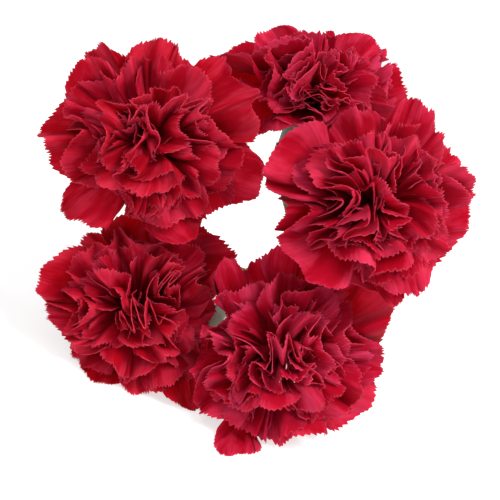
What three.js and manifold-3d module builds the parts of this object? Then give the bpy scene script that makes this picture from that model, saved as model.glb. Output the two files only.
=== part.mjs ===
import * as THREE from 'three';
import { mergeVertices } from 'three/addons/utils/BufferGeometryUtils.js';
import Module from 'manifold-3d';

// A hand-tied bunch of five red carnations, cut short and lying on its side. The rims of its two lower
// blooms and the slanting cut ends of its stems rest on the table, and the ring of blooms looks up and out.
// Sizes are millimetres and angles are degrees. Each flower is laid out in the frame of the bunch's face:
// x across the face, y up it and z straight out of it. The whole face then leans back over its stems.

const wasm = await Module();
wasm.setup();

// ---- How the bunch lies

const FACE_RISE = 22; // how far the face looks up from level
const FACE_ROLL = 20; // how far the ring is turned round its own centre
const FACE_HEIGHT = 64; // height of the face's centre above the table
const FACE_OFFSET = [7.26, -37.71]; // and its place beside the origin, which is under the middle of the whole

// ---- The five flowers: where the middle of each bloom is, which way it leans, and its outer petals
// An outer petal is [azimuth round the bloom, reach of its tip, half width, opening from the flower's axis].

const FLOWERS = [
  {
    place: 'upper_left', centre: [-37, 40, 6], lean: 6, leanTo: -50, seed: 11,
    outer: [
      [85, 39.5, 18.5, 83], [119, 42.4, 10.1, 95], [140, 40.1, 11.6, 83], [175, 43.6, 17.1, 95],
      [227, 43.5, 13.8, 83], [288, 53.6, 14.7, 95], [316, 37.6, 16.6, 83], [338, 48.9, 12, 85],
      [19, 50.6, 18.4, 83], [41, 47.2, 10.3, 95],
    ],
    waistAzimuth: 72, route: [[-38, 30, -56], [-33, 12, -70], [-24, -3, -81]], jointAt: 0.3,
    leaves: [{ turn: 40, length: 30 }, { turn: 150, length: 22 }],
  },
  {
    place: 'upper_right', centre: [27.5, 61.5, -14], lean: 44, leanTo: 62, seed: 23,
    outer: [
      [5, 39, 15.2, 83], [46, 42, 13, 66], [78, 33, 13, 74], [110, 35, 14, 83],
      [144, 41, 16.4, 95], [172, 52.5, 14, 83], [194, 38, 13, 95], [234, 37, 14, 83],
      [284, 36, 14, 95], [332, 40, 15, 95],
    ],
    waistAzimuth: 0, route: [[14.5, 24, -55], [17.5, 10, -66], [13, -3, -78]], jointAt: 0.28,
    leaves: [{ turn: -60, length: 26 }, { turn: -140, length: 22 }],
  },
  {
    place: 'right', centre: [48, 17.5, 12], lean: 12, leanTo: 5, seed: 37,
    outer: [
      [5, 39.7, 13, 83], [32, 40.5, 12.7, 95], [70, 43.5, 12, 83], [106, 40, 15, 95],
      [154, 47.1, 16.7, 83], [193, 41.3, 14.4, 95], [221, 48.3, 18.8, 83], [267, 46.5, 18, 95],
      [298, 38.5, 14, 83], [339, 40.2, 13.9, 95],
    ],
    waistAzimuth: -72, route: [[36, 12, -48], [26, 0, -68], [13, -12, -83]], jointAt: 0.3,
    leaves: [{ turn: 20, length: 28 }, { turn: -60, length: 24 }],
  },
  {
    place: 'lower_left', centre: [-42.5, -22.5, -8], lean: 3, leanTo: 30, seed: 41,
    outer: [
      [29, 44, 18.9, 83], [50, 42, 16.6, 95], [89, 41.1, 16.2, 83], [117, 35.5, 13, 95],
      [157, 40.8, 15.3, 83], [183, 37.9, 12.3, 95], [229, 31.8, 11.5, 83], [250, 36.2, 18, 95],
      [305, 49, 13, 83], [334, 39, 14, 95],
    ],
    waistAzimuth: 144, route: [[-43, -24, -63], [-33, -22, -77], [-18, -18, -85]], jointAt: 0.3,
    leaves: [{ turn: 40, length: 22 }, { turn: 110, length: 22 }],
  },
  {
    place: 'lower_middle', centre: [12, -39, 0], lean: 7, leanTo: 10, seed: 59,
    outer: [
      [350, 40.4, 18.4, 83], [26, 50, 18.5, 95], [79, 46.3, 18, 83], [104, 37.6, 13.8, 95],
      [139, 49.5, 13.1, 83], [181, 43, 15, 95], [213, 38.5, 15.5, 83], [246, 52, 12, 95],
      [288, 35.6, 17.3, 83], [331, 41.5, 17.5, 95],
    ],
    waistAzimuth: -144, route: [[5.5, -39, -56], [1, -33, -73]], jointAt: 0.24,
    leaves: [
      { tip: [-14, -22, -20], middle: [-9, -27, -52], facing: [-1, -0.6, 0.2] }, { turn: 60, length: 20 },
    ],
  },
];

// Where two blooms press on each other: the front one, the one behind it, a point of the boundary between
// them, and the way from the front bloom into the one behind.
const PRESSED_PAIRS = [
  { front: 'upper_left', behind: 'upper_right', at: [-3, 62, -3], towards: [63, 21, -58] },
  { front: 'right', behind: 'upper_right', at: [31, 44, 2], towards: [-24, 45, -52] },
  { front: 'right', behind: 'lower_middle', at: [28, -3, 4], towards: [-38, -57, -45] },
  { front: 'upper_left', behind: 'lower_left', at: [-42, 7, -1], towards: [-3, -64, -40] },
  { front: 'lower_middle', behind: 'lower_left', at: [-17, -33, -3], towards: [-53, 16, -28] },
  { front: 'right', behind: 'upper_left', at: [10, 30, 2], towards: [-50, 10, -30] },
];
const PRESS_DEPTH = 8; // petals start to yield this far before the boundary
const PRESS_GAP = 0.6; // half the room left between the middles of two pressed petals
const TABLE_DEPTH = 1.2; // petals start to yield this far above the table
const TABLE_MIDDLE = 0.25; // height of a flattened petal's middle
const TABLE_FOLD = 1; // a petal's end that would be under the table lies forward on it by this share
const LEAF_TABLE_DEPTH = 4;
const LEAF_TABLE_MIDDLE = 1;

// ---- One bloom

const CENTRE_ABOVE_MOUTH = 14; // from the mouth of the calyx to the middle of the bloom
const PETAL_THICKNESS = 0.7;
const SLIVER = 0.15; // shorter edges left by joining petals are closed up
const CLAW_RISE = 4; // a petal's narrow claw stands straight for this length
const CLAW_TURN = 9; // and bends outward over this length
const CLAW_LOSS = 3; // length that an outer petal's claw and its bend take from its reach
const CLAW_HALF_WIDTH = 2.2;
const OUTER_START = 0.3; // share of a petal's length that stays hidden in the bloom's heart
const INNER_START = 0.42;
const OUTER_ROOT = 4.4; // radius at which the outer petals leave the calyx
const INNER_ROOT = 1.6;
const TIP_DROP = 14; // extra bend of an outer petal's tip
const SIDE_LIFT = 0.12; // one side of each petal lies over its neighbour and the other under the next
const TOOTH_DEPTH = 1.3;
const INNER_COUNT = 34; // petals inside the outer row, counted before thinning out
const INNER_BUILT = [1, 4, 7, 10, 13, 16, 20, 24, 28]; // the ones that are built here
const GOLDEN_ANGLE = 137.5;
const INNER_TILT = [5, 24]; // an inner petal leans over by this much, outermost and innermost
const OUTER_GRID = [8, 2]; // cells across and along an outer petal
const INNER_GRID = [4, 1];

// The petals are pushed into ruffles by rings of swirls, turned alternately left and right.
const SWIRL_RINGS = [
  { count: 16, open: 90, turn: 0.85, spread: 0.23 },
  { count: 13, open: 67, turn: 0.75, spread: 0.24 },
  { count: 9, open: 46, turn: 0.6, spread: 0.26 },
  { count: 5, open: 26, turn: 0.5, spread: 0.28 },
  { count: 2, open: 9, turn: 0.4, spread: 0.28 },
];
const SWIRL_FROM = 7; // swirls fade in between these distances from the mouth
const SWIRL_FULL = 42;

// The heart of a bloom stands in for its packed inner petals, and a plug joins it to the calyx's socket.
const CORE = { height: 13.5, radius: 19, halfHeight: 9.5, sides: 8, rings: 5, crumple: 0.25 };
const PLUG = { radius: 5.2, depth: 8.6, top: 10, sides: 10 };

// ---- Calyx, stem, leaves and tie

const CALYX_LENGTH = 28;
const CALYX_TEETH = 5;
const CALYX_SEGMENTS = 10;
const CALYX_MOUTH_RADIUS = 6.9;
const CALYX_WALL = 1.0;
const SOCKET_DEPTH = 9;
const TOOTH_HEIGHT = 4;
const TOOTH_FLARE = 0.8;
const BRACT_LENGTH = 9;
const BRACT_RAISE = 0.7;

const STEM_RADIUS = 2.3;
const STEM_SIDES = 6;
const STEM_STEPS = 12;
const SEAT_GAP = 0.3;
const JOINT_RADIUS = 3.1; // the swollen joint that carries a pair of leaves
const JOINT_HALF_LENGTH = 3.4;
const LEAF_HALF_WIDTH = 2.4;
const LEAF_THICKNESS = 0.8;
const LEAF_KEEL = 0.35; // depth of a leaf's channel over its half width
const LEAF_ROWS = 4;

const WAIST = [-3, -19, -98]; // middle of the tied waist, in the face's frame
const GATHER_TOWARDS = [5, 29, 93]; // from the waist to the middle of the ring
const WAIST_RADIUS = 4.8; // from the middle of the waist to the middle of each stem
const SPIRAL_SLOPE = 0.3; // the stems cross the waist on a slant, all the same way round
const BELOW_WAIST = 45; // longer than needed: the table plane cuts the ends

const TWINE_RADIUS = 0.95;
const TWINE_TURNS = 3;
const TWINE_SEGMENTS = 16;
const TWINE_END_STEPS = 5;
const TIE_CLEARANCE = 0.6;

// ---- Colours

const PETAL_RED = new THREE.MeshStandardMaterial({ color: 0xb3122c, roughness: 0.75, metalness: 0 });
const CALYX_GREEN = new THREE.MeshStandardMaterial({ color: 0x6f8a5c, roughness: 0.7, metalness: 0 });
const STEM_GREEN = new THREE.MeshStandardMaterial({ color: 0x7d9677, roughness: 0.65, metalness: 0 });
const TWINE_TAN = new THREE.MeshStandardMaterial({ color: 0xb08d57, roughness: 0.95, metalness: 0 });

// ---- Small helpers

const radians = THREE.MathUtils.degToRad;
const lerp = THREE.MathUtils.lerp;
const smoothstep = (x, low, high) => THREE.MathUtils.smoothstep(x, low, high);
const vector = (values) => new THREE.Vector3(...values);

// A linear congruential generator, so that each flower's draws stay the same.
function seededDraw(seed) {
  let state = seed;
  return () => {
    state = (state * 1664525 + 1013904223) % 4294967296;
    return state / 4294967296;
  };
}

function solidFrom(geometry) {
  const plain = geometry.index ? geometry.clone() : mergeVertices(geometry.clone(), 1e-4);
  plain.deleteAttribute('normal');
  plain.deleteAttribute('uv');
  const merged = mergeVertices(plain, 1e-3);
  return new wasm.Manifold(new wasm.Mesh({
    numProp: 3,
    vertProperties: new Float32Array(merged.attributes.position.array),
    triVerts: new Uint32Array(merged.index.array),
  }));
}

function geometryFrom(solid) {
  const found = solid.getMesh();
  const geometry = new THREE.BufferGeometry();
  geometry.setAttribute('position', new THREE.BufferAttribute(found.vertProperties, 3));
  geometry.setIndex(new THREE.BufferAttribute(found.triVerts, 1));
  return geometry;
}

function meshFrom(solid, name, material) {
  const geometry = geometryFrom(solid);
  geometry.computeVertexNormals();
  const mesh = new THREE.Mesh(geometry, material);
  mesh.name = name;
  return mesh;
}

function joined(solids) {
  return solids.reduce((sum, solid) => sum.add(solid));
}

// The largest closed skin: close points are merged, sealed hollows filled and loose scraps dropped.
function outerBody(solid) {
  let body = solid.simplify(SLIVER);
  for (let pass = 0; pass < 2; pass += 1) {
    const pieces = body.decompose();
    const largest = pieces.reduce((best, piece) => (piece.volume() > best.volume() ? piece : best));
    body = solidFrom(geometryFrom(largest));
  }
  return body;
}

// A sheet of points [row][column] made into a closed blade. Both faces are split along the same diagonals.
function bladeGeometry(sheet, thickness) {
  const rows = sheet.length;
  const columns = sheet[0].length;
  const positions = [];
  for (const side of [0.5, -0.5]) {
    for (let row = 0; row < rows; row += 1) {
      for (let column = 0; column < columns; column += 1) {
        const along = sheet[Math.min(row + 1, rows - 1)][column].clone();
        along.sub(sheet[Math.max(row - 1, 0)][column]);
        const across = sheet[row][Math.min(column + 1, columns - 1)].clone();
        across.sub(sheet[row][Math.max(column - 1, 0)]);
        const normal = across.cross(along).normalize();
        const point = sheet[row][column].clone().addScaledVector(normal, side * thickness);
        positions.push(point.x, point.y, point.z);
      }
    }
  }
  const back = rows * columns;
  const at = (row, column) => row * columns + column;
  const indices = [];
  for (let row = 0; row < rows - 1; row += 1) {
    for (let column = 0; column < columns - 1; column += 1) {
      const [a, b] = [at(row, column), at(row, column + 1)];
      const [c, d] = [at(row + 1, column + 1), at(row + 1, column)];
      indices.push(a, b, c, a, c, d);
      indices.push(back + a, back + c, back + b, back + a, back + d, back + c);
    }
  }
  const rim = [];
  for (let column = 0; column < columns - 1; column += 1) rim.push(at(0, column));
  for (let row = 0; row < rows - 1; row += 1) rim.push(at(row, columns - 1));
  for (let column = columns - 1; column > 0; column -= 1) rim.push(at(rows - 1, column));
  for (let row = rows - 1; row > 0; row -= 1) rim.push(at(row, 0));
  rim.forEach((from, place) => {
    const to = rim[(place + 1) % rim.length];
    indices.push(from, back + from, to, to, back + from, back + to);
  });
  const geometry = new THREE.BufferGeometry();
  geometry.setAttribute('position', new THREE.Float32BufferAttribute(positions, 3));
  geometry.setIndex(indices);
  return geometry;
}

// ---- The table and the boundaries between the blooms, as planes in the face's frame

const lie = new THREE.Matrix4().makeRotationFromEuler(
  new THREE.Euler(radians(90 - FACE_RISE), 0, radians(FACE_ROLL), 'XYZ'),
);
lie.setPosition(...FACE_OFFSET, FACE_HEIGHT);
const tableUp = new THREE.Vector3(0, 0, 1).transformDirection(lie.clone().transpose());
const tableForward = new THREE.Vector3(0, -1, 0).transformDirection(lie.clone().transpose());

// Slides a point back along the normal, smoothly and without folding, until it is under the plane.
function press(point, normal, level, depth) {
  const past = normal.dot(point) - level + depth;
  if (past > 0) point.addScaledVector(normal, depth * (1 - Math.exp(-past / depth)) - past);
  return point;
}

function raisedOffTable(point, middle, depth) {
  return press(point, tableUp.clone().negate(), FACE_HEIGHT - middle, depth);
}

function foldedOnTable(point) {
  const before = tableUp.dot(point);
  raisedOffTable(point, TABLE_MIDDLE, TABLE_DEPTH);
  return point.addScaledVector(tableForward, TABLE_FOLD * (tableUp.dot(point) - before));
}

function boundariesOf(place) {
  const found = [];
  for (const pair of PRESSED_PAIRS) {
    if (pair.front !== place && pair.behind !== place) continue;
    const normal = vector(pair.towards).normalize();
    if (pair.behind === place) normal.negate();
    found.push({ normal, level: normal.dot(vector(pair.at)) - PRESS_GAP });
  }
  return found;
}

// ---- A flower's own frame: z along its axis, origin in the mouth of the calyx

function flowerFrame(flower) {
  const lean = radians(flower.lean);
  const side = radians(flower.leanTo);
  const axis = new THREE.Vector3(
    Math.sin(lean) * Math.cos(side), Math.sin(lean) * Math.sin(side), Math.cos(lean),
  );
  const turn = new THREE.Quaternion().setFromUnitVectors(new THREE.Vector3(0, 0, 1), axis);
  const mouth = vector(flower.centre).addScaledVector(axis, -CENTRE_ABOVE_MOUTH);
  return { axis, mouth, matrix: new THREE.Matrix4().compose(mouth, turn, new THREE.Vector3(1, 1, 1)) };
}

function swirlsOf(draw) {
  const swirls = [];
  for (const ring of SWIRL_RINGS) {
    for (let place = 0; place < ring.count; place += 1) {
      const azimuth = radians((360 / ring.count) * (place + 0.5 * (draw() - 0.5)));
      const open = radians(ring.open + 10 * (draw() - 0.5));
      const hand = place % 2 === 0 ? 1 : -1;
      swirls.push({
        pole: new THREE.Vector3(
          Math.sin(open) * Math.cos(azimuth), Math.sin(open) * Math.sin(azimuth), Math.cos(open),
        ),
        turn: hand * ring.turn * (0.7 + 0.6 * draw()),
        spread: ring.spread,
      });
    }
  }
  return swirls;
}

// Turns the point round each swirl's pole, by less the further it is from the pole.
function swirled(point, swirls) {
  const distance = point.length();
  const strength = smoothstep(distance, SWIRL_FROM, SWIRL_FULL);
  for (const { pole, turn, spread } of swirls) {
    const away = 1 - point.dot(pole) / distance;
    point.applyAxisAngle(pole, strength * turn * Math.exp(-away / (spread * spread)));
  }
  return point;
}

function petalsOf(flower, draw) {
  const petals = flower.outer.map(([azimuth, reach, halfWidth, open]) => ({
    azimuth, reach: reach + CLAW_LOSS, halfWidth, open, root: OUTER_ROOT,
    curl: TIP_DROP * (0.85 + 0.3 * draw()),
    wave: 1 + 1.1 * draw(), waves: 1.6 + 1.4 * draw(), phase: 360 * draw(), grid: OUTER_GRID,
    sideLift: 0, tilt: 0, tiltTo: 0, start: OUTER_START,
  }));
  for (let place = 0; place < INNER_COUNT; place += 1) {
    const inward = place / (INNER_COUNT - 1);
    const petal = {
      azimuth: place * GOLDEN_ANGLE + 30 * (draw() - 0.5),
      reach: lerp(38, 29, inward) + 5 * (draw() - 0.5),
      halfWidth: lerp(16, 12, inward) + 4 * (draw() - 0.5),
      open: lerp(77, 6, Math.pow(inward, 1.1)) + 10 * (draw() - 0.5),
      root: lerp(OUTER_ROOT, INNER_ROOT, inward),
      curl: lerp(20, 50, inward) * (0.2 + 1.6 * draw()),
      wave: 2.5 + 3.5 * draw(), waves: 1.4 + 2.2 * draw(), phase: 360 * draw(), grid: INNER_GRID,
      sideLift: SIDE_LIFT, tiltTo: 360 * draw(), tilt: lerp(...INNER_TILT, inward), start: INNER_START,
    };
    if (INNER_BUILT.includes(place)) petals.push(petal);
  }
  return petals;
}

// The middle line of a petal, as radius and height over equal steps of its length.
function petalProfile(petal) {
  const steps = 32;
  const step = petal.reach / steps;
  const profile = [{ radius: petal.root, height: 0, bend: 0 }];
  for (let place = 1; place <= steps; place += 1) {
    const length = (place - 0.5) * step;
    const turned = smoothstep(length, CLAW_RISE, CLAW_RISE + CLAW_TURN);
    const bend = radians(petal.open * turned + petal.curl * Math.pow(length / petal.reach, 3));
    const last = profile[place - 1];
    profile.push({
      radius: last.radius + step * Math.sin(bend),
      height: last.height + step * Math.cos(bend),
      bend,
    });
  }
  return profile;
}

// A petal's sheet: along runs from the claw to the margin and across from side to side.
function petalSheet(petal, flower, frame, swirls, boundaries) {
  const profile = petalProfile(petal);
  const [cellsAcross, cellsAlong] = petal.grid;
  const tiltAxis = new THREE.Vector3(Math.cos(radians(petal.tiltTo)), Math.sin(radians(petal.tiltTo)), 0);
  const sheet = [];
  for (let row = 0; row <= cellsAlong; row += 1) {
    const line = [];
    for (let column = 0; column <= cellsAcross; column += 1) {
      const across = (2 * column) / cellsAcross - 1;
      const tooth = row === cellsAlong && column % 2 === 1 ? 0 : TOOTH_DEPTH * (row / cellsAlong);
      const margin = 1 - 0.22 * Math.pow(Math.abs(across), 2.6) - tooth / petal.reach;
      const along = lerp(petal.start, 1, row / cellsAlong) * margin;
      const exact = along * (profile.length - 1);
      const low = profile[Math.floor(exact)];
      const high = profile[Math.min(Math.floor(exact) + 1, profile.length - 1)];
      const part = exact - Math.floor(exact);
      let radius = lerp(low.radius, high.radius, part);
      let height = lerp(low.height, high.height, part);
      const bend = lerp(low.bend, high.bend, part);
      const halfWidth = lerp(CLAW_HALF_WIDTH, petal.halfWidth, smoothstep(along, 0.2, 0.88));
      const wave = petal.wave * along * along * Math.sin(radians(180 * petal.waves * across + petal.phase));
      const lift = wave + petal.sideLift * across * halfWidth * along;
      const angle = radians(petal.azimuth) + (across * halfWidth) / (radius + 2);
      radius -= lift * Math.cos(bend);
      height += lift * Math.sin(bend);
      const point = new THREE.Vector3(radius * Math.cos(angle), radius * Math.sin(angle), height);
      point.applyAxisAngle(tiltAxis, radians(petal.tilt));
      swirled(point, swirls).applyMatrix4(frame.matrix);
      boundaries.forEach(({ normal, level }) => press(point, normal, level, PRESS_DEPTH));
      line.push(foldedOnTable(point));
    }
    sheet.push(line);
  }
  return sheet;
}

const belowTable = solidFrom(new THREE.BoxGeometry(600, 600, 60).translate(0, 0, -30));

// Lays a solid built in the face's frame on the table and cuts off what would be under it.
function laid(geometry) {
  return solidFrom(geometry.clone().applyMatrix4(lie));
}

// A ball whose every other corner is pushed in, like the folded petals packed in a bloom's heart.
function crumpledBall(sides, rings, crumple) {
  const points = [];
  for (let ring = 1; ring < rings; ring += 1) {
    const slope = (Math.PI * ring) / rings;
    for (let side = 0; side < sides; side += 1) {
      const azimuth = (2 * Math.PI * (side + 0.5 * (ring % 2))) / sides;
      const size = side % 2 === 0 ? 1 : 1 - crumple;
      const radius = size * Math.sin(slope);
      points.push(radius * Math.cos(azimuth), radius * Math.sin(azimuth), Math.cos(slope));
    }
  }
  const bottom = (rings - 1) * sides;
  points.push(0, 0, -1 + crumple, 0, 0, 1 - crumple);
  const indices = [];
  for (let side = 0; side < sides; side += 1) {
    const next = (side + 1) % sides;
    indices.push(bottom + 1, side, next);
    for (let ring = 0; ring < rings - 2; ring += 1) {
      const [a, b, c, d] = [side, next, next + sides, side + sides].map((corner) => corner + ring * sides);
      indices.push(a, d, c, a, c, b);
    }
    indices.push(bottom, bottom - sides + next, bottom - sides + side);
  }
  const geometry = new THREE.BufferGeometry();
  geometry.setAttribute('position', new THREE.Float32BufferAttribute(points, 3));
  geometry.setIndex(indices);
  return geometry;
}

function makePetals(flower) {
  const swirls = swirlsOf(seededDraw(flower.seed));
  const frame = flowerFrame(flower);
  const boundaries = boundariesOf(flower.place);
  const core = crumpledBall(CORE.sides, CORE.rings, CORE.crumple)
    .scale(CORE.radius, CORE.radius, CORE.halfHeight)
    .translate(0, 0, CORE.height).applyMatrix4(frame.matrix);
  const plug = new THREE.CylinderGeometry(PLUG.radius, PLUG.radius, PLUG.depth + PLUG.top, PLUG.sides)
    .rotateX(Math.PI / 2).translate(0, 0, (PLUG.top - PLUG.depth) / 2).applyMatrix4(frame.matrix);
  const solids = [laid(core), laid(plug)];
  for (const petal of petalsOf(flower, seededDraw(flower.seed + 1))) {
    const sheet = petalSheet(petal, flower, frame, swirls, boundaries);
    solids.push(laid(bladeGeometry(sheet, PETAL_THICKNESS)));
  }
  return meshFrom(outerBody(joined(solids).subtract(belowTable)), `petals_${flower.place}`, PETAL_RED);
}

// ---- Calyx: a green tube with five teeth, a socket for the petals and two pairs of bracts at its base

function makeCalyx(flower) {
  const frame = flowerFrame(flower);
  const inner = CALYX_MOUTH_RADIUS - CALYX_WALL;
  const profile = [
    [0, -CALYX_LENGTH], [3, -CALYX_LENGTH], [5.2, -23], [6.2, -13],
    [CALYX_MOUTH_RADIUS, -1], [inner, -1], [inner, -SOCKET_DEPTH], [0, -SOCKET_DEPTH],
  ].map(([radius, height]) => new THREE.Vector2(radius, height));
  const geometry = new THREE.LatheGeometry(profile, CALYX_SEGMENTS).rotateX(Math.PI / 2);
  const position = geometry.attributes.position;
  for (let place = 0; place < position.count; place += 1) {
    const point = new THREE.Vector3().fromBufferAttribute(position, place);
    const radius = Math.hypot(point.x, point.y);
    if (radius < 0.1) continue;
    const azimuth = Math.atan2(point.y, point.x);
    const tooth = 1 - Math.abs((((azimuth * CALYX_TEETH) / Math.PI) % 2 + 2) % 2 - 1);
    const rim = point.z > -2 ? tooth : 0;
    const bract = Math.max(0, Math.cos(2 * azimuth)) * smoothstep(-point.z, CALYX_LENGTH - BRACT_LENGTH, 26);
    const grown = (radius + rim * TOOTH_FLARE + (point.z < -10 ? bract * BRACT_RAISE : 0)) / radius;
    position.setXYZ(place, point.x * grown, point.y * grown, point.z + rim * TOOTH_HEIGHT);
  }
  return meshFrom(laid(geometry.applyMatrix4(frame.matrix)), `calyx_${flower.place}`, CALYX_GREEN);
}

// ---- Stems: each leaves its calyx along the flower's axis and slants through the tied waist

const gatherAxis = vector(GATHER_TOWARDS).normalize();
const gatherAcross = new THREE.Vector3(1, 0, 0).addScaledVector(gatherAxis, -gatherAxis.x).normalize();
const gatherUp = gatherAxis.clone().cross(gatherAcross);

function waistPoint(azimuth, height) {
  const radial = gatherAcross.clone().multiplyScalar(Math.cos(azimuth));
  radial.addScaledVector(gatherUp, Math.sin(azimuth));
  const tangent = gatherAxis.clone().cross(radial);
  return vector(WAIST).addScaledVector(gatherAxis, height)
    .addScaledVector(radial, WAIST_RADIUS)
    .addScaledVector(tangent, SPIRAL_SLOPE * height);
}

function stemCurve(flower) {
  const frame = flowerFrame(flower);
  const azimuth = radians(flower.waistAzimuth);
  const below = (distance) => frame.mouth.clone().addScaledVector(frame.axis, -CALYX_LENGTH - distance);
  return new THREE.CatmullRomCurve3([
    below(SEAT_GAP), below(1.5), below(5), ...flower.route.map(vector),
    waistPoint(azimuth, 8), waistPoint(azimuth, -4), waistPoint(azimuth, -BELOW_WAIST),
  ]);
}

// A narrow keeled leaf along a curve, widest near its foot, with its channel facing the given way.
function leafGeometry(curve, facing, halfWidth) {
  const sheet = [];
  for (let row = 0; row <= LEAF_ROWS; row += 1) {
    const part = row / LEAF_ROWS;
    const side = curve.getTangent(part).cross(facing).normalize();
    const width = halfWidth * lerp(0.9, 1, Math.sin(Math.PI * part)) * Math.pow(1 - 0.86 * part, 0.8);
    sheet.push([-1, 0, 1].map((across) => {
      const point = curve.getPoint(part).addScaledVector(side, across * width);
      point.addScaledVector(facing, (Math.abs(across) - 0.5) * LEAF_KEEL * width);
      return raisedOffTable(point, LEAF_TABLE_MIDDLE, LEAF_TABLE_DEPTH);
    }));
  }
  return bladeGeometry(sheet, LEAF_THICKNESS);
}

// The pair of leaves at a stem's joint. Each starts along the stem and bends away from it, on the outside of
// the bunch, unless its tip's place is given.
function leafCurves(flower, joint, alongStem) {
  const fromAxis = joint.clone().sub(vector(WAIST));
  const outward = fromAxis.addScaledVector(gatherAxis, -fromAxis.dot(gatherAxis));
  outward.addScaledVector(alongStem, -outward.dot(alongStem)).normalize();
  return flower.leaves.map((leaf) => {
    if (leaf.tip) {
      const tip = vector(leaf.tip);
      const middle = vector(leaf.middle);
      const facing = vector(leaf.facing).normalize();
      return { curve: new THREE.QuadraticBezierCurve3(joint, middle, tip), facing };
    }
    const away = outward.clone().applyAxisAngle(alongStem, radians(leaf.turn));
    const middle = joint.clone().addScaledVector(alongStem, 0.55 * leaf.length);
    middle.addScaledVector(away, 0.12 * leaf.length);
    const tip = joint.clone().addScaledVector(alongStem, 0.75 * leaf.length);
    tip.addScaledVector(away, 0.55 * leaf.length);
    return { curve: new THREE.QuadraticBezierCurve3(joint, middle, tip), facing: away.negate() };
  });
}

function makeStem(flower) {
  const curve = stemCurve(flower);
  const section = new THREE.Shape(
    Array.from({ length: STEM_SIDES }, (_, place) => {
      const angle = (2 * Math.PI * place) / STEM_SIDES;
      return new THREE.Vector2(STEM_RADIUS * Math.cos(angle), STEM_RADIUS * Math.sin(angle));
    }),
  );
  const solids = [laid(new THREE.ExtrudeGeometry(section, { steps: STEM_STEPS, extrudePath: curve }))];
  const joint = curve.getPointAt(flower.jointAt);
  const alongStem = curve.getTangentAt(flower.jointAt).negate();
  const swelling = new THREE.SphereGeometry(1, STEM_SIDES, 4)
    .scale(JOINT_RADIUS, JOINT_HALF_LENGTH, JOINT_RADIUS)
    .applyQuaternion(new THREE.Quaternion().setFromUnitVectors(new THREE.Vector3(0, 1, 0), alongStem))
    .translate(joint.x, joint.y, joint.z);
  solids.push(laid(swelling));
  for (const leaf of leafCurves(flower, joint, alongStem)) {
    solids.push(laid(leafGeometry(leaf.curve, leaf.facing, LEAF_HALF_WIDTH)));
  }
  return meshFrom(outerBody(joined(solids).subtract(belowTable)), `stem_${flower.place}`, STEM_GREEN);
}

// ---- The tie: turns of twine round the waist, with a knot and two short ends on its upper side

function roundRod(points) {
  const section = new THREE.Shape(
    Array.from({ length: 6 }, (_, place) => {
      const angle = (Math.PI * place) / 3;
      return new THREE.Vector2(TWINE_RADIUS * Math.cos(angle), TWINE_RADIUS * Math.sin(angle));
    }),
  );
  const curve = new THREE.CatmullRomCurve3(points.map(vector));
  return new THREE.ExtrudeGeometry(section, { steps: TWINE_END_STEPS, extrudePath: curve });
}

function makeTie() {
  const inner = WAIST_RADIUS + STEM_RADIUS + TIE_CLEARANCE;
  const pitch = 2 * TWINE_RADIUS;
  const foot = (-TWINE_TURNS / 2) * pitch;
  const profile = [new THREE.Vector2(inner, foot + 0.2)];
  for (let turn = 0; turn < TWINE_TURNS; turn += 1) {
    for (const angle of [-55, 55]) {
      profile.push(new THREE.Vector2(
        inner + TWINE_RADIUS * (0.9 + Math.cos(radians(angle))),
        foot + (turn + 0.5) * pitch + TWINE_RADIUS * Math.sin(radians(angle)),
      ));
    }
  }
  profile.push(new THREE.Vector2(inner, -foot - 0.2), profile[0]);
  const knotAt = inner + 2 * TWINE_RADIUS;
  const frame = new THREE.Matrix4().makeBasis(gatherAcross, gatherUp, gatherAxis).setPosition(vector(WAIST));
  const pieces = [
    new THREE.LatheGeometry(profile, TWINE_SEGMENTS).rotateX(Math.PI / 2),
    new THREE.SphereGeometry(1, 8, 6).scale(3, 2, 2.4).translate(0, knotAt, 0),
    roundRod([[0, knotAt, 0], [3, knotAt + 1.2, 1], [8, knotAt + 0.5, 3], [13, knotAt - 2.5, 4]]),
    roundRod([[0, knotAt, 0], [-3, knotAt + 1.3, -1], [-8, knotAt + 1, 1], [-12, knotAt - 1, 4]]),
  ];
  const solids = pieces.map((piece) => laid(piece.applyMatrix4(frame)));
  return meshFrom(outerBody(joined(solids)), 'twine_tie', TWINE_TAN);
}

// ---- The whole bunch

const bunch = new THREE.Group();
for (const flower of FLOWERS) {
  bunch.add(makePetals(flower), makeCalyx(flower), makeStem(flower));
}
bunch.add(makeTie());

export default bunch;
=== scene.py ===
import math

import bmesh
import bpy
import numpy as np
from mathutils import Matrix, Vector


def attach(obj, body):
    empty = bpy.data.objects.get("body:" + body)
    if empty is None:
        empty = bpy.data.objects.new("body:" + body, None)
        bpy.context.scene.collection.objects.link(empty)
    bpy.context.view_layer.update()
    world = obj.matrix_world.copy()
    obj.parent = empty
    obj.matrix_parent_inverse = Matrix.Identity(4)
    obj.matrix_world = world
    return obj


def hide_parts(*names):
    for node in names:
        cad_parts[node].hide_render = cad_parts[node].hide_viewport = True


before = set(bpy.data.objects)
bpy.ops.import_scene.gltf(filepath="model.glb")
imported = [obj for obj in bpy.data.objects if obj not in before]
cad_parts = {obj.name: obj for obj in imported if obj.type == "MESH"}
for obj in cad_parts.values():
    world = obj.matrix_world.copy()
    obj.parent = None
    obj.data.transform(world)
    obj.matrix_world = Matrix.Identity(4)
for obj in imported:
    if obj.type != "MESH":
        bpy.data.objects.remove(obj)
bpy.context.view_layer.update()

# ---- How the bunch lies, and the camera
# Five cut carnations tied in a hand-held ring, now laid on a table. The face is the ring of blooms: x runs
# across it, y up it and z straight out of it, in millimetres. It leans back over the stems.

# How far the face looks up and is rolled round its middle, in degrees, and where its middle stands.
FACE_RISE = 22
FACE_ROLL = 20
FACE_HEIGHT = 64
FACE_OFFSET = (7.26, -37.71)
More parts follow.
